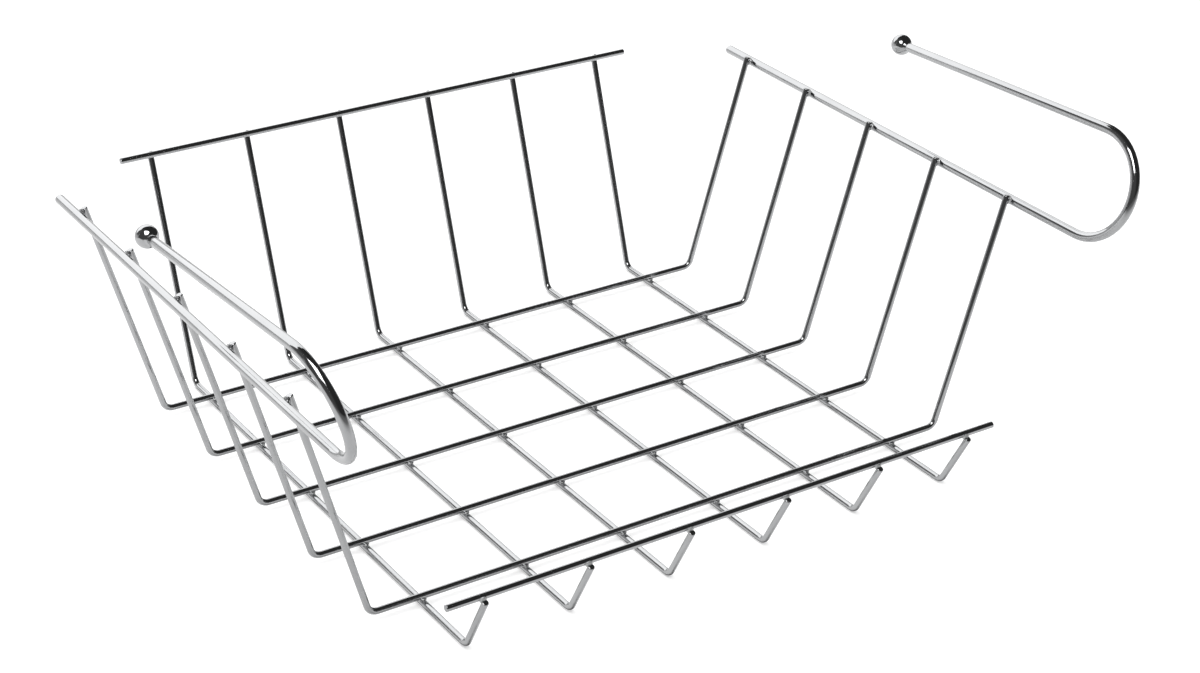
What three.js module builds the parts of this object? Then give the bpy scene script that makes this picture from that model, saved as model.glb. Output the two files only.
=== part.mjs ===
// Under-shelf hanging basket of welded, chrome-plated steel wire, in millimetres with +Z up.
// X runs from left to right and Y from the front to the back. The long wires stand on z = 0,
// and the origin lies under the middle of the overall box.

import * as THREE from 'three';

// Wire and ball stock, as diameters
const GRID_WIRE = 3;
const HANGER_WIRE = 4.5;
const BALL = 10;

// Floor grid: the cross wires run left to right and lie on the long wires, which run front to back
const CROSS_WIRES = 5;
const CROSS_PITCH = 50;
const LONG_WIRES = 6;
const LONG_PITCH = 50;
const SIDE_MARGIN = 25; // from the outer long wires to the corners of the side walls
const BACK_MARGIN = 21; // from the last cross wire to the corners of the back wall
const FRONT_MARGIN = 36; // from the first cross wire to the corners of the front wall

// Walls: each leg is measured from its corner to its cut tip, and leans outwards from upright
const SIDE_LEG = 116;
const SIDE_LEAN = 16;
const BACK_LEG = 113;
const BACK_LEAN = 19;
const FRONT_LEG = 32.5;
const FRONT_LEAN = 27.5;
const GRID_BEND = 5; // bend radius of the grid wires, on the wire's axis

// Rails: straight wires on the inner side of the back and front legs
const RAIL_OVERHANG = 16.5; // past the outer long wires
const RAIL_BELOW_TIP = 0.5; // from a leg's tip down to the rail's axis

// Hangers: bent in the plane of the side walls, on their outer side
const RUN_BELOW_TIP = 2; // from a side leg's tip down to the lower run's axis
const RUN_BACK = 20.5; // lower run's cut end, behind the last cross wire
const HANGER_REACH = 66.5; // front of the round bend, ahead of the first cross wire
const HANGER_BEND = 24.5; // radius of the round bend, on the wire's axis
const ARM_LENGTH = 139; // from the round bend to the centre of the ball
const LEFT_ARM_SLOPE = 6; // the sprung arms slope down towards the ball, the left one more
const RIGHT_ARM_SLOPE = 2.75;

// Clearances between separate pieces
const WELD_GAP = 0.2; // at each welded contact
const SOCKET_GAP = 0.2; // between an arm's end and the socket in its ball

// Facets
const WIRE_SIDES = 12;
const BEND_STEP = 15; // degrees of bend for each length of facet
const BALL_SEGMENTS = 24;
const BALL_RINGS = 10;

// Sizes that follow from the driving dimensions
const lastCross = ((CROSS_WIRES - 1) / 2) * CROSS_PITCH;
const lastLong = ((LONG_WIRES - 1) / 2) * LONG_PITCH;
const sideCorner = lastLong + SIDE_MARGIN;
const backCorner = lastCross + BACK_MARGIN;
const frontCorner = lastCross + FRONT_MARGIN;
const longAxis = GRID_WIRE / 2;
const crossAxis = longAxis + GRID_WIRE + WELD_GAP;
const railOffset = GRID_WIRE + WELD_GAP;
const hangerOffset = (GRID_WIRE + HANGER_WIRE) / 2 + WELD_GAP;

const rad = THREE.MathUtils.degToRad;

// Chrome plate over steel, one material for each piece
function chrome(roughness) {
  return new THREE.MeshStandardMaterial({ color: 0xd6d8da, metalness: 1, roughness });
}

// A wire bent in its own XZ plane, written as a bender makes it: straight lengths and bends in turn.
// Headings and bends are in degrees from +X towards +Z.
class BentWire extends THREE.Curve {
  constructor(startX, startZ, heading) {
    super();
    this.point = new THREE.Vector3(startX, 0, startZ);
    this.heading = heading;
    this.stations = [];
    this.mark();
  }

  direction() {
    return new THREE.Vector3(Math.cos(rad(this.heading)), 0, Math.sin(rad(this.heading)));
  }

  mark() {
    this.stations.push({ point: this.point.clone(), tangent: this.direction() });
  }

  straight(length) {
    this.point.addScaledVector(this.direction(), length);
    this.mark();
    return this;
  }

  bend(angle, radius) {
    const steps = Math.ceil(Math.abs(angle) / BEND_STEP);
    const turn = angle / steps;
    const chord = 2 * radius * Math.sin(rad(Math.abs(turn) / 2));
    for (let step = 0; step < steps; step += 1) {
      this.heading += turn / 2;
      this.point.addScaledVector(this.direction(), chord);
      this.heading += turn / 2;
      this.mark();
    }
    return this;
  }

  station(u) {
    return this.stations[Math.round(u * (this.stations.length - 1))];
  }

  getPointAt(u, target = new THREE.Vector3()) {
    return target.copy(this.station(u).point);
  }

  getTangentAt(u, target = new THREE.Vector3()) {
    return target.copy(this.station(u).tangent);
  }
}

// How far a bend starts before the corner that its two straight lengths would meet in
function setback(angle, radius) {
  return radius * Math.tan(rad(angle) / 2);
}

// Distance from a wire's axis to the corners of its faceted section, whose flats lie at the wire's radius
function cornerRadius(diameter) {
  return diameter / 2 / Math.cos(Math.PI / WIRE_SIDES);
}

// Round wire along a bent path, with its flats facing along and across the plane of the bends
function wire(name, path, diameter, roughness) {
  const radius = cornerRadius(diameter);
  const corners = [];
  for (let side = 0; side < WIRE_SIDES; side += 1) {
    const angle = ((side + 0.5) * 2 * Math.PI) / WIRE_SIDES;
    corners.push(new THREE.Vector2(radius * Math.cos(angle), radius * Math.sin(angle)));
  }
  const geometry = new THREE.ExtrudeGeometry(new THREE.Shape(corners), {
    extrudePath: path,
    steps: path.stations.length - 1,
    bevelEnabled: false,
  });
  const mesh = new THREE.Mesh(geometry, chrome(roughness));
  mesh.name = name;
  return mesh;
}

// Wire with a floor length between two leaning legs, symmetric or not, in its own XZ plane
function floorWire(name, low, high) {
  const lowTurn = 90 - low.lean;
  const highTurn = 90 - high.lean;
  const lowSetback = setback(lowTurn, GRID_BEND);
  const highSetback = setback(highTurn, GRID_BEND);
  const tipX = -low.corner - low.leg * Math.sin(rad(low.lean));
  const tipZ = low.leg * Math.cos(rad(low.lean));
  const path = new BentWire(tipX, tipZ, -lowTurn)
    .straight(low.leg - lowSetback)
    .bend(lowTurn, GRID_BEND)
    .straight(low.corner + high.corner - lowSetback - highSetback)
    .bend(highTurn, GRID_BEND)
    .straight(high.leg - highSetback);
  return wire(name, path, GRID_WIRE, 0.1);
}

function crossWires() {
  const group = new THREE.Group();
  const side = { corner: sideCorner, leg: SIDE_LEG, lean: SIDE_LEAN };
  for (let index = 0; index < CROSS_WIRES; index += 1) {
    const mesh = floorWire(`cross_wire_${index + 1}`, side, side);
    mesh.position.set(0, -lastCross + index * CROSS_PITCH, crossAxis);
    group.add(mesh);
  }
  return group;
}

function longWires() {
  const group = new THREE.Group();
  const front = { corner: frontCorner, leg: FRONT_LEG, lean: FRONT_LEAN };
  const back = { corner: backCorner, leg: BACK_LEG, lean: BACK_LEAN };
  for (let index = 0; index < LONG_WIRES; index += 1) {
    const mesh = floorWire(`long_wire_${index + 1}`, front, back);
    mesh.position.set(-lastLong + index * LONG_PITCH, 0, longAxis);
    mesh.rotation.z = Math.PI / 2;
    group.add(mesh);
  }
  return group;
}

// Straight rail across one wall's legs. The group leans with the wall, and inwards is +1 or -1 along Y.
function rail(name, corner, leg, lean, inwards) {
  const group = new THREE.Group();
  const half = lastLong + RAIL_OVERHANG;
  const mesh = wire(name, new BentWire(-half, 0, 0).straight(2 * half), GRID_WIRE, 0.1);
  mesh.position.set(0, inwards * railOffset, leg - RAIL_BELOW_TIP);
  group.add(mesh);
  group.position.set(0, -inwards * corner, longAxis);
  group.rotation.x = inwards * rad(lean);
  return group;
}

// Ball with a blind socket for the arm's end, turned about X with the socket's mouth towards -X
function ballEnd(name) {
  const radius = BALL / 2;
  const socket = (cornerRadius(HANGER_WIRE) + SOCKET_GAP) / Math.cos(Math.PI / BALL_SEGMENTS);
  const mouth = -Math.acos(socket / radius);
  const profile = [new THREE.Vector2(0, 0), new THREE.Vector2(socket, 0)];
  for (let ring = 0; ring < BALL_RINGS; ring += 1) {
    const angle = THREE.MathUtils.lerp(mouth, Math.PI / 2, ring / BALL_RINGS);
    profile.push(new THREE.Vector2(radius * Math.cos(angle), radius * Math.sin(angle)));
  }
  profile.push(new THREE.Vector2(0, radius));
  const geometry = new THREE.LatheGeometry(profile, BALL_SEGMENTS);
  geometry.rotateZ(-Math.PI / 2);
  const mesh = new THREE.Mesh(geometry, chrome(0.06));
  mesh.name = name;
  return mesh;
}

// Hanger and its ball, flat in the plane of a side wall. Outwards is +1 for the right side, -1 for the left.
function hanger(side, outwards, slope) {
  const bendCentre = -lastCross - HANGER_REACH + HANGER_BEND;
  const runEnd = lastCross + RUN_BACK;
  const path = new BentWire(runEnd, 0, 180)
    .straight(runEnd - bendCentre)
    .bend(-180 - slope, HANGER_BEND)
    .straight(ARM_LENGTH - BALL / 2)
    .straight(BALL / 2 - SOCKET_GAP);

  const flat = new THREE.Group();
  flat.add(wire(`${side}_hanger`, path, HANGER_WIRE, 0.08));
  const ball = ballEnd(`${side}_ball_end`);
  ball.position.copy(path.point).addScaledVector(path.direction(), SOCKET_GAP);
  ball.rotation.y = rad(slope);
  flat.add(ball);
  flat.position.set(outwards * hangerOffset, 0, SIDE_LEG - RUN_BELOW_TIP);
  flat.rotation.z = Math.PI / 2;

  const wall = new THREE.Group();
  wall.add(flat);
  wall.position.set(outwards * sideCorner, 0, crossAxis);
  wall.rotation.y = outwards * rad(SIDE_LEAN);
  return wall;
}

// The pieces share a frame with y = 0 at the middle cross wire, which is then centred on the overall depth
const frontReach = lastCross + HANGER_REACH + HANGER_WIRE / 2;
const backReach = backCorner + BACK_LEG * Math.sin(rad(BACK_LEAN)) + (GRID_WIRE / 2) * Math.cos(rad(BACK_LEAN));

const basket = new THREE.Group();
basket.add(crossWires());
basket.add(longWires());
basket.add(rail('back_rail', backCorner, BACK_LEG, BACK_LEAN, -1));
basket.add(rail('front_rail', frontCorner, FRONT_LEG, FRONT_LEAN, 1));
basket.add(hanger('left', -1, LEFT_ARM_SLOPE));
basket.add(hanger('right', 1, RIGHT_ARM_SLOPE));
basket.position.y = (frontReach - backReach) / 2;

export default basket;
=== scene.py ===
"""Dressed model of an under-shelf basket: bright chrome-plated steel wire, bent and welded.

Lengths are written in millimetres and turned to metres as the meshes are made. X runs to the right,
Y to the back and Z up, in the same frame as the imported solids, and the long wires stand on z = 0.
"""

import logging
import math
from dataclasses import dataclass
from enum import Enum
from typing import Any, TypeVar

import bpy
from mathutils import Matrix, Quaternion, Vector


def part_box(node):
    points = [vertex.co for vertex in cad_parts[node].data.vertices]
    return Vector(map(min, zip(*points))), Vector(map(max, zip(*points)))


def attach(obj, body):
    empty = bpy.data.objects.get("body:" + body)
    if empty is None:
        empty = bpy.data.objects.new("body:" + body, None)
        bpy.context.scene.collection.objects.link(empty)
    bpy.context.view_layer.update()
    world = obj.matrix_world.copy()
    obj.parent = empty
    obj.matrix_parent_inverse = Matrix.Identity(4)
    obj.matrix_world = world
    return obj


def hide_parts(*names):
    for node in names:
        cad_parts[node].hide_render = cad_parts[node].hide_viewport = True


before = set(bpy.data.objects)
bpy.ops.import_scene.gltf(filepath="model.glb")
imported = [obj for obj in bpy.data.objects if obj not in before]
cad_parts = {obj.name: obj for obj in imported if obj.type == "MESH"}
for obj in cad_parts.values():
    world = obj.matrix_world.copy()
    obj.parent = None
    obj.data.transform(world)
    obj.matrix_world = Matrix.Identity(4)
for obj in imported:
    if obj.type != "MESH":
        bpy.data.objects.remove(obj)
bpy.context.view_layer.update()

LOG = logging.getLogger("basket")
BODY = "root"
MM_PER_METRE = 1000.0

# Fineness of the meshes
WIRE_SIDES = 32
BEND_STEP_DEGREES = 7.5
END_ROUND_SEGMENTS = 4
END_ROUND_PROFILE = 0.5
BALL_SEGMENTS = 48
BALL_RINGS = 32
BEAD_SEGMENTS = 16
BEAD_RINGS = 8
FELT_SEGMENTS = 48
FELT_RINGS = 24
MERGE_DISTANCE = 0.002
SMOOTH_ANGLE_DEGREES = 35.0

# Slopes of the sprung arms down towards their balls, in degrees
LEFT_ARM_SLOPE = 6.0
RIGHT_ARM_SLOPE = 2.75

# Rings of a ball's collar: each one's share of the collar's length, and how far it has drawn in by there
COLLAR_RINGS = ((0.35, 0.35), (0.65, 1.0))

# Directions of the frame
TO_RIGHT = Vector((1.0, 0.0, 0.0))
TO_BACK = Vector((0.0, 1.0, 0.0))
TO_FRONT = Vector((0.0, -1.0, 0.0))
UP = Vector((0.0, 0.0, 1.0))

# Values of the studio's materials
WHITE = (1.0, 1.0, 1.0, 1.0)
BLACK = (0.0, 0.0, 0.0, 1.0)
PAPER_ROUGHNESS = 0.95

# Sockets of the colour mix node, which repeat their names and so go by number
MIX_FACTOR = 0
MIX_FIRST_COLOUR = 6
MIX_SECOND_COLOUR = 7
MIX_COLOUR_RESULT = 2

Length = TypeVar("Length", float, Vector)


class Slot(Enum):
    """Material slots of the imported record."""

    GRID = "grid_wire"
    HANGER = "hanger_wire"
    BALL = "ball_end"


class Side(Enum):
    """The two sides of the basket, by the sign of their X."""

    LEFT = -1
    RIGHT = 1

    @property
    def word(self) -> str:
        """Name of the side as the nodes write it."""
        return self.name.lower()


class Wall(Enum):
    """The two walls that carry a rail, by the sign of their Y."""

    FRONT = -1
    BACK = 1

    @property
    def word(self) -> str:
        """Name of the wall as the nodes write it."""
        return self.name.lower()


def metres(length: Length) -> Length:
    """Length or place in metres, from millimetres."""
    return length / MM_PER_METRE


def linear_colour(hex_code: str) -> tuple[float, float, float, float]:
    """Turn an sRGB hex colour to linear light.

    Args:
        hex_code: Six hex digits after a number sign.

    Returns:
        Linear red, green, blue and an alpha of one.
    """
    digits = hex_code.lstrip("#")
    channels = []
    for start in (0, 2, 4):
        value = int(digits[start:start + 2], 16) / 255.0
        if value <= 0.04045:
            channels.append(value / 12.92)
        else:
            channels.append(((value + 0.055) / 1.055) ** 2.4)
    return (channels[0], channels[1], channels[2], 1.0)


def add_node(
    tree: bpy.types.NodeTree,
    kind: str,
    settings: dict[str, Any] | None = None,
    inputs: dict[str | int, Any] | None = None,
) -> bpy.types.Node:
    """Add one node, set it and link it.

    Args:
        tree: Node tree that gets the node.
        kind: Blender's name for the node type.
        settings: Attributes of the node itself.
        inputs: Value, or output socket to link from, for each named or numbered input.

    Returns:
        The new node.
    """
    node = tree.nodes.new(kind)
    for name, value in (settings or {}).items():
        setattr(node, name, value)
    for name, value in (inputs or {}).items():
        if isinstance(value, bpy.types.NodeSocket):
            tree.links.new(value, node.inputs[name])
        else:
            node.inputs[name].default_value = value
    return node


def map_range(
    tree: bpy.types.NodeTree,
    value: bpy.types.NodeSocket,
    ends: tuple[float, float],
    results: tuple[float, float],
    interpolation: str = "SMOOTHSTEP",
) -> bpy.types.NodeSocket:
    """Map a value from one range to another, held level past both ends.

    Args:
        tree: Node tree that gets the node.
        value: Socket to map.
        ends: Values of that socket where the change starts and stops.
        results: What the two ends give.
        interpolation: How the result goes from one end to the other.

    Returns:
        The socket with the result.
    """
    node = add_node(
        tree,
        "ShaderNodeMapRange",
        settings={"interpolation_type": interpolation},
        inputs={
            "Value": value,
            "From Min": ends[0],
            "From Max": ends[1],
            "To Min": results[0],
            "To Max": results[1],
        },
    )
    return node.outputs["Result"]


def combine(
    tree: bpy.types.NodeTree,
    operation: str,
    first: bpy.types.NodeSocket,
    second: bpy.types.NodeSocket | float,
) -> bpy.types.NodeSocket:
    """Put two values through one step of arithmetic.

    Args:
        tree: Node tree that gets the node.
        operation: Blender's name for the step.
        first: Socket with the first value.
        second: Socket with the second value, or the value itself.

    Returns:
        The socket with the result.
    """
    node = add_node(tree, "ShaderNodeMath", settings={"operation": operation}, inputs={0: first, 1: second})
    return node.outputs["Value"]


def start_material(name: str) -> tuple[bpy.types.Material, bpy.types.NodeTree, bpy.types.Node]:
    """Start a node material.

    Args:
        name: Name of the material.

    Returns:
        The material, its node tree and its surface shader.
    """
    material = bpy.data.materials.new(name)
    material.use_nodes = True
    tree = material.node_tree
    return (material, tree, tree.nodes["Principled BSDF"])


def deselect() -> None:
    """Leave edit mode and deselect every object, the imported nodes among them."""
    if bpy.context.object and bpy.context.object.mode != "OBJECT":
        bpy.ops.object.mode_set(mode="OBJECT")
    bpy.ops.object.select_all(action="DESELECT")


def activate(piece: bpy.types.Object) -> None:
    """Select one object alone and make it active."""
    deselect()
    piece.select_set(True)
    bpy.context.view_layer.objects.active = piece


def settle(piece: bpy.types.Object, name: str) -> bpy.types.Object:
    """Close a modelled mesh, put its place in the mesh and shade it.

    Args:
        piece: Object that has just been modelled.
        name: Name that the piece and its mesh take.

    Returns:
        The same object, at the origin.
    """
    activate(piece)
    bpy.ops.object.mode_set(mode="EDIT")
    bpy.ops.mesh.select_all(action="SELECT")
    bpy.ops.mesh.remove_doubles(threshold=metres(MERGE_DISTANCE))
    bpy.ops.mesh.normals_make_consistent(inside=False)
    bpy.ops.object.mode_set(mode="OBJECT")
    bpy.ops.object.transform_apply(location=True, rotation=True, scale=True)
    bpy.ops.object.shade_smooth_by_angle(angle=math.radians(SMOOTH_ANGLE_DEGREES))
    piece.name = name
    piece.data.name = name
    return piece


def copy_piece(piece: bpy.types.Object, name: str, shift: Vector) -> bpy.types.Object:
    """Copy a piece with its own mesh, and move the copy in its mesh.

    Args:
        piece: Piece to copy, at the origin.
        name: Name of the copy.
        shift: Move in millimetres.

    Returns:
        The copy, at the origin.
    """
    activate(piece)
    bpy.ops.object.duplicate(linked=False)
    copy = bpy.context.object
    bpy.ops.transform.translate(value=metres(shift))
    bpy.ops.object.transform_apply(location=True, rotation=True, scale=True)
    copy.name = name
    copy.data.name = name
    return copy


def join_pieces(pieces: list[bpy.types.Object], name: str) -> bpy.types.Object:
    """Join several pieces in one mesh.

    Args:
        pieces: Pieces to join; the first one keeps its object.
        name: Name of the joined piece.

    Returns:
        The joined piece.
    """
    activate(pieces[0])
    for piece in pieces[1:]:
        piece.select_set(True)
    bpy.ops.object.join()
    joined = bpy.context.object
    joined.name = name
    joined.data.name = name
    return joined


def box_middle(node: str) -> Vector:
    """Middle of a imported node's box, in millimetres."""
    low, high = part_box(node)
    return (Vector(low) + Vector(high)) / 2.0 * MM_PER_METRE


def middle_y() -> float:
    """Y of the middle cross wire, in millimetres, from which the lengths to front and back are counted."""
    return box_middle("cross_wire_3").y


def piece_name(node: str) -> str:
    """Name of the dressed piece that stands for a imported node."""
    return f"chrome_{node}"


@dataclass
class WireForm:
    """Round wire bent in one plane, formed from one cut end to the other as a bender makes it.

    Lengths and radii are on the wire's axis, in millimetres.
    """

    diameter: float
    start: Vector
    heading: Vector
    turn_axis: Vector
    end_round: float

    def __post_init__(self) -> None:
        """Place a filled circle at the cut end, facing along the wire."""
        self.place = self.start.copy()
        self.heading = self.heading.normalized()
        self.turn_axis = self.turn_axis.normalized()
        deselect()
        bpy.ops.mesh.primitive_circle_add(
            vertices=WIRE_SIDES,
            radius=metres(self.diameter / 2.0),
            fill_type="NGON",
            location=metres(self.start),
            rotation=self.heading.to_track_quat("Z", "Y").to_euler(),
        )
        self.piece = bpy.context.object
        bpy.ops.object.mode_set(mode="EDIT")
        bpy.ops.mesh.select_mode(type="FACE")
        bpy.ops.mesh.select_all(action="SELECT")

    def straight(self, length: float) -> "WireForm":
        """Extrude the wire straight on.

        Args:
            length: How far the wire goes on.

        Returns:
            The same wire, for the next length.
        """
        step = self.heading * length
        bpy.ops.mesh.extrude_region_move(TRANSFORM_OT_translate={"value": metres(step)})
        self.place = self.place + step
        return self

    def bend(self, degrees: float, radius: float) -> "WireForm":
        """Spin the wire round a bend.

        Args:
            degrees: Turn about the wire's turning axis, counted by the right-hand rule.
            radius: Bend radius.

        Returns:
            The same wire, for the next length.
        """
        sign = math.copysign(1.0, degrees)
        centre = self.place + self.turn_axis.cross(self.heading) * radius * sign
        # The operator turns against the right-hand rule, so the axis is reversed
        bpy.ops.mesh.spin(
            steps=max(2, math.ceil(abs(degrees) / BEND_STEP_DEGREES)),
            angle=math.radians(abs(degrees)),
            center=metres(centre),
            axis=-self.turn_axis * sign,
        )
        turn = Quaternion(self.turn_axis, math.radians(degrees))
        self.place = centre + turn @ (self.place - centre)
        self.heading = turn @ self.heading
        return self

    def finish(self, name: str) -> bpy.types.Object:
        """Round off the sheared rims of both cut ends and settle the piece.

        Args:
            name: Name of the finished piece.

        Returns:
            The piece.
        """
        bpy.ops.mesh.select_all(action="DESELECT")
        bpy.ops.mesh.select_face_by_sides(number=WIRE_SIDES, type="EQUAL")
        bpy.ops.mesh.region_to_loop()
        bpy.ops.mesh.bevel(
            offset=metres(self.end_round),
            segments=END_ROUND_SEGMENTS,
            profile=END_ROUND_PROFILE,
            affect="EDGES",
        )
        return settle(self.piece, name)


@dataclass(frozen=True)
class BrightChrome:
    """Bright decorative chromium over nickel, plated on drawn steel wire.

    It gives the eye a neutral mirror whose edges are a little soft: the plate follows the faint ripple
    that drawing leaves on the wire, and its haze comes and goes over a centimetre or two.
    """

    name: str
    plate: str = "#C3C4C5"
    haze_plate: str = "#B4B5B7"
    roughness_low: float = 0.05
    roughness_high: float = 0.12
    haze_size: float = 18.0
    haze_detail: float = 4.0
    haze_falloff: float = 0.55
    haze_low: float = 0.3
    haze_high: float = 0.7
    ripple_size: float = 2.4
    ripple_detail: float = 2.0
    ripple_height: float = 0.0012

    def material(self) -> bpy.types.Material:
        """Make the material.

        Returns:
            A node material on Object coordinates, which are metres.
        """
        material, tree, shader = start_material(self.name)
        shader.inputs["Metallic"].default_value = 1.0
        place = add_node(tree, "ShaderNodeTexCoord").outputs["Object"]
        haze = add_node(
            tree,
            "ShaderNodeTexNoise",
            inputs={
                "Vector": place,
                "Scale": MM_PER_METRE / self.haze_size,
                "Detail": self.haze_detail,
                "Roughness": self.haze_falloff,
            },
        ).outputs["Fac"]
        roughness = map_range(
            tree,
            haze,
            (self.haze_low, self.haze_high),
            (self.roughness_low, self.roughness_high),
            "LINEAR",
        )
        colour = add_node(
            tree,
            "ShaderNodeMix",
            settings={"data_type": "RGBA"},
            inputs={
                MIX_FACTOR: haze,
                MIX_FIRST_COLOUR: linear_colour(self.plate),
                MIX_SECOND_COLOUR: linear_colour(self.haze_plate),
            },
        )
        ripple = add_node(
            tree,
            "ShaderNodeTexNoise",
            inputs={
                "Vector": place,
                "Scale": MM_PER_METRE / self.ripple_size,
                "Detail": self.ripple_detail,
            },
        )
        bump = add_node(
            tree,
            "ShaderNodeBump",
            inputs={
                "Height": ripple.outputs["Fac"],
                "Strength": 1.0,
                "Distance": metres(self.ripple_height),
            },
        )
        tree.links.new(colour.outputs[MIX_COLOUR_RESULT], shader.inputs["Base Color"])
        tree.links.new(roughness, shader.inputs["Roughness"])
        tree.links.new(bump.outputs["Normal"], shader.inputs["Normal"])
        return material


# Drawn wire keeps a faint ripple under the plate, so that long reflections waver a little
GRID_CHROME = BrightChrome(name="bright_chrome_on_drawn_grid_wire")
HANGER_CHROME = BrightChrome(name="bright_chrome_on_drawn_hanger_wire", ripple_size=3.6)

# A polished ball has hardly any ripple, so that the softbox stays a sharp spot on it
BALL_CHROME = BrightChrome(
    name="bright_chrome_on_polished_steel_ball",
    roughness_low=0.03,
    roughness_high=0.07,
    ripple_size=1.8,
    ripple_height=0.0003,
)

# Plate stays satin over the rough skin of a weld, and its colour is set paler than the wire's plate as a
# painted sheen, so that the beads show as soft pale spots
WELD_CHROME = BrightChrome(
    name="satin_chrome_with_painted_sheen_on_welds",
    # Paler plate colours than the wire's: a painted sheen, while the higher roughness is the weld's real
    # satin skin
    plate="#DDDEDF",
    haze_plate="#CFD0D0",
    roughness_low=0.42,
    roughness_high=0.58,
    haze_size=2.5,
    ripple_size=0.5,
    ripple_height=0.02,
)


def dress(piece: bpy.types.Object, finish: BrightChrome) -> bpy.types.Object:
    """Give a piece its finish and its body.

    Args:
        piece: Finished mesh.
        finish: Finish to wear; its material is made once.

    Returns:
        The same piece.
    """
    material = bpy.data.materials.get(finish.name) or finish.material()
    piece.data.materials.clear()
    piece.data.materials.append(material)
    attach(piece, BODY)
    LOG.info("%s: %d faces, %s", piece.name, len(piece.data.polygons), finish.name)
    return piece


def lay_out(first: bpy.types.Object, nodes: list[str], shifts: list[Vector]) -> list[bpy.types.Object]:
    """Copy a bent grid wire to its other places and dress them all.

    Args:
        first: Wire at its first place.
        nodes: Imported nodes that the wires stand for, the first wire's among them.
        shifts: Move of each wire from the first place, in millimetres.

    Returns:
        The wires in the order of the nodes.
    """
    wires = [first]
    for node, shift in zip(nodes[1:], shifts[1:]):
        wires.append(copy_piece(first, piece_name(node), shift))
    for wire, node in zip(wires, nodes):
        dress(wire, GRID_CHROME)
        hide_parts(node)
    return wires


@dataclass
class GridWire:
    """Sizes that the grid wires share, in millimetres."""

    diameter: float = 3.0
    bend_radius: float = 5.0
    tip_round: float = 0.45

    def setback(self, degrees: float) -> float:
        """How far a bend starts before the corner that its straight lengths would meet in."""
        return self.bend_radius * math.tan(math.radians(degrees) / 2.0)


@dataclass
class CrossWires(GridWire):
    """U-bent wires from side to side: the upper wires of the floor and the legs of both side walls."""

    count: int = 5
    corner: float = 150.0
    leg: float = 116.0
    lean: float = 16.0
    axis_height: float = 4.7

    def leg_direction(self, side: Side) -> Vector:
        """Unit vector up a side leg."""
        lean = math.radians(self.lean)
        return Vector((side.value * math.sin(lean), 0.0, math.cos(lean)))

    def node(self, index: int) -> str:
        """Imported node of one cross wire, counted from the front."""
        return f"cross_wire_{index + 1}"

    def place(self, index: int) -> float:
        """Y of one cross wire, in millimetres."""
        return box_middle(self.node(index)).y

    def build(self) -> list[bpy.types.Object]:
        """Bend the front wire and copy it to the other places.

        Returns:
            The wires from front to back.
        """
        turn = 90.0 - self.lean
        leg = self.leg - self.setback(turn)
        floor = 2.0 * (self.corner - self.setback(turn))
        up = self.leg_direction(Side.LEFT)
        tip = Vector((-self.corner, self.place(0), self.axis_height)) + up * self.leg
        first = (
            WireForm(self.diameter, tip, -up, TO_FRONT, self.tip_round)
            .straight(leg)
            .bend(turn, self.bend_radius)
            .straight(floor)
            .bend(turn, self.bend_radius)
            .straight(leg)
            .finish(piece_name(self.node(0)))
        )
        nodes = [self.node(index) for index in range(self.count)]
        shifts = [TO_BACK * (self.place(index) - self.place(0)) for index in range(self.count)]
        return lay_out(first, nodes, shifts)


@dataclass
class LongWires(GridWire):
    """Wires from front to back: the lower wires of the floor, tall back legs and short front legs."""

    count: int = 6
    back_corner: float = 121.0
    front_corner: float = -136.0
    back_leg: float = 113.0
    back_lean: float = 19.0
    front_leg: float = 32.5
    front_lean: float = 27.5
    axis_height: float = 1.5

    def leg_direction(self, wall: Wall) -> Vector:
        """Unit vector up a leg of the front or back wall."""
        lean = math.radians(self.back_lean if wall is Wall.BACK else self.front_lean)
        return Vector((0.0, wall.value * math.sin(lean), math.cos(lean)))

    def inwards(self, wall: Wall) -> Vector:
        """Unit vector square to a wall's legs, into the basket."""
        up = self.leg_direction(wall)
        return Vector((0.0, -wall.value * up.z, wall.value * up.y))

    def node(self, index: int) -> str:
        """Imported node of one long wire, counted from the left."""
        return f"long_wire_{index + 1}"

    def place(self, index: int) -> float:
        """X of one long wire, in millimetres."""
        return box_middle(self.node(index)).x

    def build(self) -> list[bpy.types.Object]:
        """Bend the left wire and copy it to the other places.

        Returns:
            The wires from left to right.
        """
        front_turn = 90.0 - self.front_lean
        back_turn = 90.0 - self.back_lean
        floor = self.back_corner - self.front_corner - self.setback(front_turn) - self.setback(back_turn)
        up = self.leg_direction(Wall.FRONT)
        corner = Vector((self.place(0), middle_y() + self.front_corner, self.axis_height))
        first = (
            WireForm(self.diameter, corner + up * self.front_leg, -up, TO_RIGHT, self.tip_round)
            .straight(self.front_leg - self.setback(front_turn))
            .bend(front_turn, self.bend_radius)
            .straight(floor)
            .bend(back_turn, self.bend_radius)
            .straight(self.back_leg - self.setback(back_turn))
            .finish(piece_name(self.node(0)))
        )
        nodes = [self.node(index) for index in range(self.count)]
        shifts = [TO_RIGHT * (self.place(index) - self.place(0)) for index in range(self.count)]
        return lay_out(first, nodes, shifts)


@dataclass
class Rail(GridWire):
    """Straight wire welded across the inner side of one wall's legs."""

    tip_round: float = 0.35
    wall: Wall = Wall.BACK
    half_length: float = 141.5

    @property
    def node(self) -> str:
        """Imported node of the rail."""
        return f"{self.wall.word}_rail"

    def axis_middle(self) -> Vector:
        """Middle of the rail's axis, in millimetres."""
        return box_middle(self.node)

    def build(self) -> bpy.types.Object:
        """Draw the rail from its left cut end.

        Returns:
            The rail.
        """
        start = self.axis_middle() - TO_RIGHT * self.half_length
        form = WireForm(self.diameter, start, TO_RIGHT, UP, self.tip_round)
        rail = form.straight(2.0 * self.half_length).finish(piece_name(self.node))
        dress(rail, GRID_CHROME)
        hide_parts(self.node)
        return rail


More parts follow.
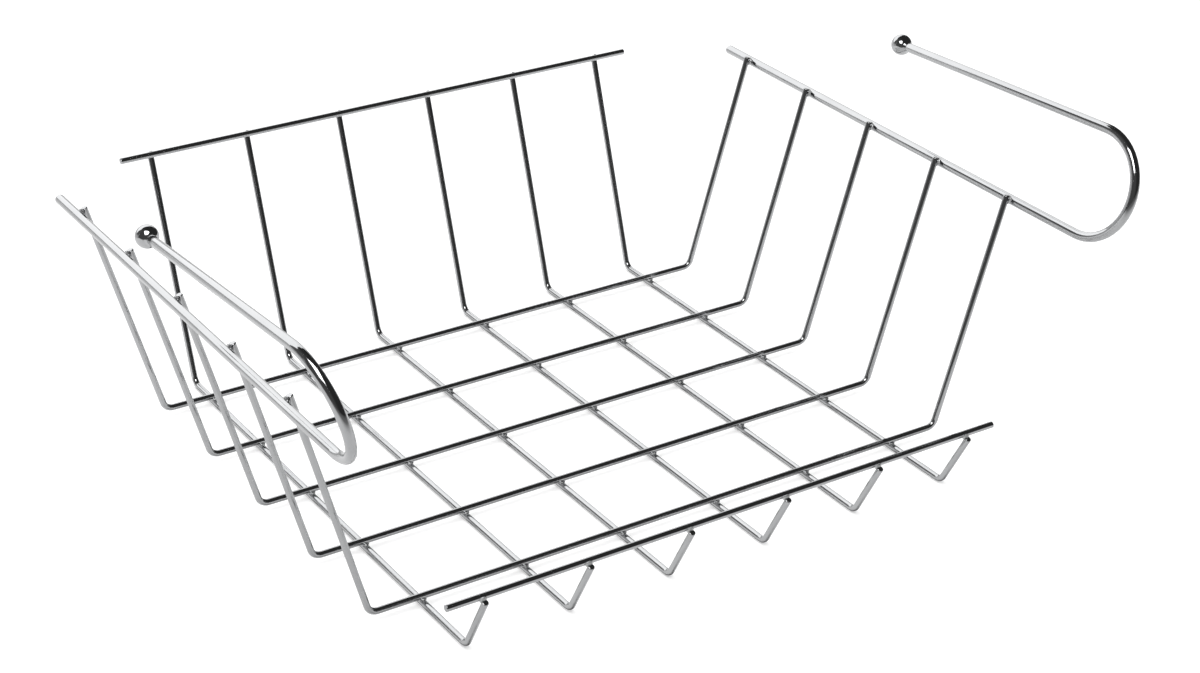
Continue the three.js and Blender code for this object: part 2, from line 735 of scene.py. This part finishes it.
@dataclass
class Hanger:
    """Thicker wire on one side: lower run, round bend at the front, sprung arm and its ball.

    The arm's end stops a little short of the ball's centre, and the collar's end lies just under the
    arm's surface.
    """

    side: Side
    slope: float
    legs: CrossWires
    diameter: float = 4.5
    end_round: float = 0.6
    run_along_leg: float = 114.0
    off_leg: float = 3.95
    run_back: float = 120.5
    bend_centre: float = -142.0
    bend_radius: float = 24.5
    arm: float = 139.0
    arm_short: float = 1.0
    ball: float = 10.0
    neck_cut: float = 4.15
    neck_length: float = 1.1
    neck_sink: float = 0.03

    def outwards(self) -> Vector:
        """Unit vector square to the side wall, out of the basket."""
        up = self.legs.leg_direction(self.side)
        return Vector((self.side.value * up.z, 0.0, -self.side.value * up.x))

    def run_axis(self, y: float) -> Vector:
        """Find a point on the axis of the lower run.

        Args:
            y: Y of the point, in millimetres.

        Returns:
            The point, in millimetres.
        """
        corner = Vector((self.side.value * self.legs.corner, y, self.legs.axis_height))
        up = self.legs.leg_direction(self.side)
        return corner + up * self.run_along_leg + self.outwards() * self.off_leg

    def build(self) -> list[bpy.types.Object]:
        """Bend the hanger from its back end and set the ball on the arm.

        Returns:
            The wire and the ball.
        """
        # Turning about this axis takes the wire from the run up to the arm
        axis = self.legs.leg_direction(self.side).cross(TO_BACK)
        back_end = self.run_axis(middle_y() + self.run_back)
        form = WireForm(self.diameter, back_end, TO_FRONT, axis, self.end_round)
        form.straight(self.run_back - self.bend_centre)
        form.bend(180.0 + self.slope, self.bend_radius)
        form.straight(self.arm - self.arm_short)
        along = form.heading.copy()
        centre = form.place + along * self.arm_short
        node = f"{self.side.word}_hanger"
        wire = dress(form.finish(piece_name(node)), HANGER_CHROME)
        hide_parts(node)
        return [wire, self.ball_end(centre, along)]

    def ball_end(self, centre: Vector, along: Vector) -> bpy.types.Object:
        """Model the ball with the small collar that its weld leaves round the arm.

        Args:
            centre: Middle of the ball, in millimetres.
            along: Unit vector along the arm towards its free end.

        Returns:
            The ball.
        """
        deselect()
        bpy.ops.mesh.primitive_uv_sphere_add(
            segments=BALL_SEGMENTS,
            ring_count=BALL_RINGS,
            radius=metres(self.ball / 2.0),
            location=metres(centre),
            rotation=along.to_track_quat("Z", "Y").to_euler(),
        )
        ball = bpy.context.object
        neck = centre - along * self.neck_cut
        neck_radius = math.sqrt((self.ball / 2.0) ** 2 - self.neck_cut ** 2)
        bpy.ops.object.mode_set(mode="EDIT")
        bpy.ops.mesh.select_mode(type="EDGE")
        bpy.ops.mesh.select_all(action="SELECT")
        bpy.ops.mesh.bisect(plane_co=metres(neck), plane_no=along, clear_inner=True)
        bpy.ops.mesh.select_all(action="DESELECT")
        bpy.ops.mesh.select_non_manifold()
        # The rings draw the weld's fillet in from the ball to the arm
        end_radius = self.diameter / 2.0 - self.neck_sink
        radius = neck_radius
        for share, drawn_in in COLLAR_RINGS:
            step = along * -self.neck_length * share
            bpy.ops.mesh.extrude_edges_move(TRANSFORM_OT_translate={"value": metres(step)})
            neck = neck + step
            wanted = neck_radius + (end_radius - neck_radius) * drawn_in
            bpy.ops.transform.resize(value=(wanted / radius,) * 3, center_override=metres(neck))
            radius = wanted
        bpy.ops.mesh.edge_face_add()
        node = f"{self.side.word}_ball_end"
        settle(ball, piece_name(node))
        dress(ball, BALL_CHROME)
        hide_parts(node)
        return ball


@dataclass
class Welds:
    """Resistance welds, plated over: a small squeezed-out bead in each contact between two wires."""

    cross: CrossWires
    long: LongWires
    rails: list[Rail]
    hangers: list[Hanger]
    spread: float = 1.75
    run_spread: float = 2.1
    thickness: float = 0.85
    half_gap: float = 0.1

    def bead(self, place: Vector, normal: Vector, spread: float) -> bpy.types.Object:
        """Model one bead, pressed flat between two wires.

        Args:
            place: Contact between the two wires, in millimetres.
            normal: Direction from one wire to the other.
            spread: Half of the bead's width.

        Returns:
            The bead.
        """
        deselect()
        bpy.ops.mesh.primitive_uv_sphere_add(
            segments=BEAD_SEGMENTS,
            ring_count=BEAD_RINGS,
            radius=metres(spread),
            location=metres(place),
            rotation=normal.to_track_quat("Z", "Y").to_euler(),
        )
        bead = bpy.context.object
        bead.scale.z = self.thickness / spread
        return settle(bead, "bead")

    def copies(self, places: list[Vector], normal: Vector, spread: float) -> list[bpy.types.Object]:
        """Model the bead at the first place and copy it to the others.

        Args:
            places: Contacts, in millimetres.
            normal: Direction from one wire to the other, at every contact.
            spread: Half of a bead's width.

        Returns:
            One bead for each place.
        """
        first = self.bead(places[0], normal, spread)
        beads = [first]
        for place in places[1:]:
            beads.append(copy_piece(first, "bead", place - places[0]))
        return beads

    def floor_places(self) -> list[Vector]:
        """Find the contacts of the floor's two layers.

        Returns:
            The contacts, in millimetres.
        """
        height = (self.cross.axis_height + self.long.axis_height) / 2.0
        places = []
        for row in range(self.cross.count):
            for column in range(self.long.count):
                places.append(Vector((self.long.place(column), self.cross.place(row), height)))
        return places

    def rail_places(self, rail: Rail) -> list[Vector]:
        """Find the contacts of one rail with its legs.

        Args:
            rail: The rail.

        Returns:
            The contacts, in millimetres.
        """
        to_contact = -self.long.inwards(rail.wall) * (rail.diameter / 2.0 + self.half_gap)
        places = []
        for column in range(self.long.count):
            middle = rail.axis_middle()
            middle.x = self.long.place(column)
            places.append(middle + to_contact)
        return places

    def run_places(self, hanger: Hanger) -> list[Vector]:
        """Find the contacts of one hanger's lower run with the side legs.

        Args:
            hanger: The hanger.

        Returns:
            The contacts, in millimetres.
        """
        to_contact = -hanger.outwards() * (hanger.diameter / 2.0 + self.half_gap)
        places = []
        for row in range(self.cross.count):
            places.append(hanger.run_axis(self.cross.place(row)) + to_contact)
        return places

    def build(self) -> list[bpy.types.Object]:
        """Model all welds.

        Returns:
            One piece for the floor, one for the rails and one for the hangers.
        """
        floor = self.copies(self.floor_places(), UP, self.spread)
        rails = []
        for rail in self.rails:
            rails += self.copies(self.rail_places(rail), self.long.inwards(rail.wall), self.spread)
        runs = []
        for hanger in self.hangers:
            runs += self.copies(self.run_places(hanger), hanger.outwards(), self.run_spread)
        return [
            dress(join_pieces(floor, "floor_welds"), WELD_CHROME),
            dress(join_pieces(rails, "rail_welds"), WELD_CHROME),
            dress(join_pieces(runs, "hanger_welds"), WELD_CHROME),
        ]


@dataclass(frozen=True)
class PaperFloor:
    """White paper under the object: matt, and a little brighter to the eye than its own colour."""

    name: str = "white_paper_floor"
    colour: str = "#F4F4F4"
    lift: float = 0.25

    def material(self) -> bpy.types.Material:
        """Make the material.

        Returns:
            A matt white whose lift is seen by the camera, in reflections and through glass.
        """
        material, tree, shader = start_material(self.name)
        shader.inputs["Base Color"].default_value = linear_colour(self.colour)
        shader.inputs["Roughness"].default_value = PAPER_ROUGHNESS
        shader.inputs["Specular IOR Level"].default_value = 0.0
        shader.inputs["Emission Color"].default_value = WHITE
        rays = add_node(tree, "ShaderNodeLightPath").outputs
        mirrored = combine(tree, "MAXIMUM", rays["Is Glossy Ray"], rays["Is Transmission Ray"])
        seen = combine(tree, "MAXIMUM", rays["Is Camera Ray"], mirrored)
        tree.links.new(combine(tree, "MULTIPLY", seen, self.lift), shader.inputs["Emission Strength"])
        return material


@dataclass(frozen=True)
class PaperTable:
    """Paper table top as the chrome mirrors it: matt, pale under the object, darker in front and behind.

    Places are along Y, in millimetres.
    """

    name: str = "matt_paper_table"
    pale: float = 0.155
    dark: float = 0.045
    dark_until: float = -680.0
    pale_from: float = -240.0
    shade: float = 0.55
    shade_from: float = 150.0
    shade_until: float = 700.0

    def material(self) -> bpy.types.Material:
        """Make the material.

        Returns:
            A matt grey that is graded along Y.
        """
        material, tree, shader = start_material(self.name)
        shader.inputs["Roughness"].default_value = PAPER_ROUGHNESS
        shader.inputs["Specular IOR Level"].default_value = 0.0
        place = add_node(tree, "ShaderNodeTexCoord").outputs["Object"]
        depth = add_node(tree, "ShaderNodeSeparateXYZ", inputs={"Vector": place}).outputs["Y"]
        front_ends = (metres(self.dark_until), metres(self.pale_from))
        front = map_range(tree, depth, front_ends, (self.dark, self.pale))
        back_ends = (metres(self.shade_from), metres(self.shade_until))
        back = map_range(tree, depth, back_ends, (1.0, self.shade))
        tree.links.new(combine(tree, "MULTIPLY", front, back), shader.inputs["Base Color"])
        return material


@dataclass(frozen=True)
class Glow:
    """Even or graded brightness of a studio card, from a low to a high end along one axis in millimetres."""

    name: str
    low: float
    high: float
    axis: str = "Z"
    low_end: float = 0.0
    high_end: float = 1.0

    def material(self) -> bpy.types.Material:
        """Make the material.

        Returns:
            A glowing material that isn't sampled as a lamp.
        """
        material, tree, shader = start_material(self.name)
        material.cycles.emission_sampling = "NONE"
        shader.inputs["Base Color"].default_value = BLACK
        shader.inputs["Specular IOR Level"].default_value = 0.0
        shader.inputs["Emission Color"].default_value = WHITE
        place = add_node(tree, "ShaderNodeTexCoord").outputs["Object"]
        along = add_node(tree, "ShaderNodeSeparateXYZ", inputs={"Vector": place}).outputs[self.axis]
        ends = (metres(self.low_end), metres(self.high_end))
        grade = map_range(tree, along, ends, (self.low, self.high))
        tree.links.new(grade, shader.inputs["Emission Strength"])
        return material


FELT_GLOW = Glow("black_felt", low=0.085, high=0.035, axis="X", low_end=-6500.0, high_end=1000.0)
SWEEP_GLOW = Glow("lit_paper_sweep", low=1.65, high=1.25, axis="X", low_end=1000.0, high_end=6000.0)
WALL_GLOW = Glow("grey_paper_wall", low=0.6, high=0.6)
WING_GLOW = Glow("grey_paper_wing", low=0.55, high=0.12, axis="Z", low_end=400.0, high_end=1300.0)
WING_FRONT_GLOW = Glow("grey_paper_wing_front", low=0.06, high=0.4, axis="Y", low_end=1050.0, high_end=2000.0)
SOFTBOX_GLOW = Glow("softbox_silk", low=5.0, high=5.0)


def only_in_reflections(obj: bpy.types.Object) -> bpy.types.Object:
    """Let only reflections see an object of the studio.

    Args:
        obj: Card, felt or table.

    Returns:
        The same object.
    """
    obj.visible_camera = False
    obj.visible_diffuse = False
    obj.visible_shadow = False
    obj.visible_volume_scatter = False
    return obj


def level_edge(start: tuple[float, float], end: tuple[float, float], height: float) -> tuple[Vector, Vector]:
    """Edge of a card between two places in X and Y, at one height."""
    return (Vector((*start, height)), Vector((*end, height)))


@dataclass
class Card:
    """Flat studio card, given by two opposite edges, that only reflections see."""

    name: str
    first_edge: tuple[Vector, Vector]
    second_edge: tuple[Vector, Vector]
    glow: Glow

    def build(self) -> bpy.types.Object:
        """Stretch the card from its first edge to its second.

        Returns:
            The card.
        """
        deselect()
        corners = [*self.first_edge, *self.second_edge]
        bpy.ops.mesh.primitive_plane_add(size=1.0)
        card = bpy.context.object
        for vertex, corner in zip(card.data.vertices, corners):
            vertex.co = metres(corner)
        card.name = self.name
        card.data.materials.append(self.glow.material())
        return only_in_reflections(card)


@dataclass
class Lamp:
    """Rectangular lamp that faces the frame's origin and isn't mirrored, in millimetres and watts."""

    name: str
    place: Vector
    width: float
    height: float
    watts: float

    def build(self) -> bpy.types.Object:
        """Hang the lamp.

        Returns:
            The lamp.
        """
        deselect()
        bpy.ops.object.light_add(type="AREA", location=metres(self.place))
        lamp = bpy.context.object
        lamp.name = self.name
        lamp.data.shape = "RECTANGLE"
        lamp.data.size = metres(self.width)
        lamp.data.size_y = metres(self.height)
        lamp.data.energy = self.watts
        lamp.rotation_euler = (-self.place).to_track_quat("-Z", "Y").to_euler()
        lamp.visible_glossy = False
        return lamp


# The first lamp lights only the mirrored table, the second gives the floor its soft shadow
SWEEP_LAMP = Lamp("sweep_lamp", Vector((0.0, 2760.0, 2000.0)), width=3600.0, height=2400.0, watts=1200.0)
OVERHEAD_LAMP = Lamp(
    "overhead_lamp",
    Vector((-400.0, -300.0, 2000.0)),
    width=1600.0,
    height=1600.0,
    watts=12.0,
)


@dataclass
class Studio:
    """White floor, mirrored surroundings, lamps, world and camera.

    Polished chrome shows little but its surroundings, so these stand where they give the wires the bands
    that the photograph shows: a bright sweep over a grey wall behind the object, a wing at its left that is
    dark above a pale foot, one softbox on the camera's side, a paper table and dark felt all round.
    """

    floor_half: float = 6000.0
    felt_radius: float = 13000.0
    table_lift: float = 0.3
    sweep_y: float = 6000.0
    sweep_left: float = -4330.0
    sweep_top: float = 7400.0
    sweep_top_right: float = 4000.0
    wall_y: float = 6010.0
    wall_right: float = 7800.0
    wall_top: float = 1050.0
    wing_x: float = -4550.0
    wing_middle: float = 2000.0
    wing_top: float = 6000.0
    wing_front: float = 1050.0
    wing_front_top: float = 2500.0
    softbox_height: float = 922.0
    softbox_left: tuple[float, float] = (-840.0, -570.0)
    softbox_near: tuple[float, float] = (-395.0, -859.0)
    softbox_far: tuple[float, float] = (-470.0, 0.0)
    softbox_right: tuple[float, float] = (-25.0, -289.0)
    camera_place: Vector = Vector((-544.55, -850.39, 577.87))
    camera_heading: float = -33.786
    camera_dip: float = 27.590
    camera_roll: float = 1.31
    camera_lens: float = 74.269
    camera_sensor: float = 36.0
    camera_clip: float = 10.0

    def floor(self) -> None:
        """Lay the floor."""
        deselect()
        bpy.ops.mesh.primitive_plane_add(size=metres(2.0 * self.floor_half))
        floor = bpy.context.object
        floor.name = "studio_floor"
        floor.data.materials.append(PaperFloor().material())

    def felt(self) -> None:
        """Raise the dark felt round the set."""
        deselect()
        bpy.ops.mesh.primitive_uv_sphere_add(
            segments=FELT_SEGMENTS,
            ring_count=FELT_RINGS,
            radius=metres(self.felt_radius),
        )
        dome = bpy.context.object
        bpy.ops.object.mode_set(mode="EDIT")
        bpy.ops.mesh.select_all(action="SELECT")
        bpy.ops.mesh.bisect(plane_co=(0.0, 0.0, 0.0), plane_no=UP, clear_inner=True)
        bpy.ops.object.mode_set(mode="OBJECT")
        dome.name = "studio_felt"
        dome.data.materials.append(FELT_GLOW.material())
        only_in_reflections(dome)

    def cards(self) -> list[Card]:
        """Place the glowing cards.

        Returns:
            The cards, each by its lower and upper edge, and the level softbox by two opposite edges.
        """
        sweep_corner = (self.sweep_left, self.sweep_y)
        wall_corner = (self.wing_x, self.wall_y)
        wall_end = (self.wall_right, self.wall_y)
        wing_corner = (self.wing_x, self.sweep_y)
        wing_fold = (self.wing_x, self.wing_middle)
        wing_end = (self.wing_x, self.wing_front)
        return [
            Card(
                "back_sweep",
                level_edge(sweep_corner, (self.wall_right, self.sweep_y), self.wall_top),
                level_edge(sweep_corner, (self.sweep_top_right, self.sweep_y), self.sweep_top),
                SWEEP_GLOW,
            ),
            Card(
                "back_wall",
                level_edge(wall_corner, wall_end, 0.0),
                level_edge(wall_corner, wall_end, self.wall_top),
                WALL_GLOW,
            ),
            Card(
                "left_wing",
                level_edge(wing_fold, wing_corner, 0.0),
                level_edge(wing_fold, wing_corner, self.wing_top),
                WING_GLOW,
            ),
            Card(
                "left_wing_front",
                level_edge(wing_end, wing_fold, 0.0),
                level_edge(wing_end, wing_fold, self.wing_front_top),
                WING_FRONT_GLOW,
            ),
            Card(
                "key_softbox",
                level_edge(self.softbox_left, self.softbox_near, self.softbox_height),
                level_edge(self.softbox_far, self.softbox_right, self.softbox_height),
                SOFTBOX_GLOW,
            ),
        ]

    def table(self) -> None:
        """Lay the mirrored table top just over the floor, with a lamp that lights it alone."""
        deselect()
        bpy.ops.mesh.primitive_plane_add(size=metres(2.0 * self.felt_radius))
        table = bpy.context.object
        bpy.ops.transform.translate(value=metres(UP * self.table_lift))
        bpy.ops.object.transform_apply(location=True)
        table.name = "table_top"
        table.data.materials.append(PaperTable().material())
        only_in_reflections(table)
        lit = bpy.data.collections.new("lit_by_sweep_lamp")
        lit.objects.link(table)
        SWEEP_LAMP.build().light_linking.receiver_collection = lit

    def world(self) -> None:
        """Fill the world with white."""
        world = bpy.data.worlds.new("white_studio")
        world.use_nodes = True
        background = world.node_tree.nodes["Background"]
        background.inputs["Color"].default_value = WHITE
        background.inputs["Strength"].default_value = 1.0
        bpy.context.scene.world = world

    def camera(self) -> None:
        """Set the camera where the photograph was taken from."""
        data = bpy.data.cameras.new("photograph_camera")
        data.sensor_width = self.camera_sensor
        data.lens = self.camera_lens
        data.clip_start = metres(self.camera_clip)
        camera = bpy.data.objects.new("photograph_camera", data)
        bpy.context.scene.collection.objects.link(camera)
        turn = (
            Matrix.Rotation(math.radians(self.camera_heading), 4, "Z")
            @ Matrix.Rotation(math.radians(90.0 - self.camera_dip), 4, "X")
            @ Matrix.Rotation(math.radians(self.camera_roll), 4, "Z")
        )
        camera.matrix_world = Matrix.Translation(metres(self.camera_place)) @ turn
        bpy.context.scene.camera = camera

    def build(self) -> None:
        """Set up the whole studio."""
        self.camera()
        self.floor()
        self.felt()
        self.table()
        for card in self.cards():
            card.build()
        OVERHEAD_LAMP.build()
        self.world()
        bpy.context.scene.view_settings.view_transform = "Standard"


def main() -> None:
    """Build the studio and the basket in order."""
    logging.basicConfig(level=logging.INFO, format="%(name)s %(message)s")
    Studio().build()
    cross = CrossWires()
    long = LongWires()
    rails = [Rail(wall=Wall.FRONT), Rail(wall=Wall.BACK)]
    hangers = [
        Hanger(Side.LEFT, LEFT_ARM_SLOPE, cross),
        Hanger(Side.RIGHT, RIGHT_ARM_SLOPE, cross),
    ]
    cross.build()
    long.build()
    for rail in rails:
        rail.build()
    for hanger in hangers:
        hanger.build()
    Welds(cross, long, rails, hangers).build()
    deselect()


if __name__ == "__main__":
    main()
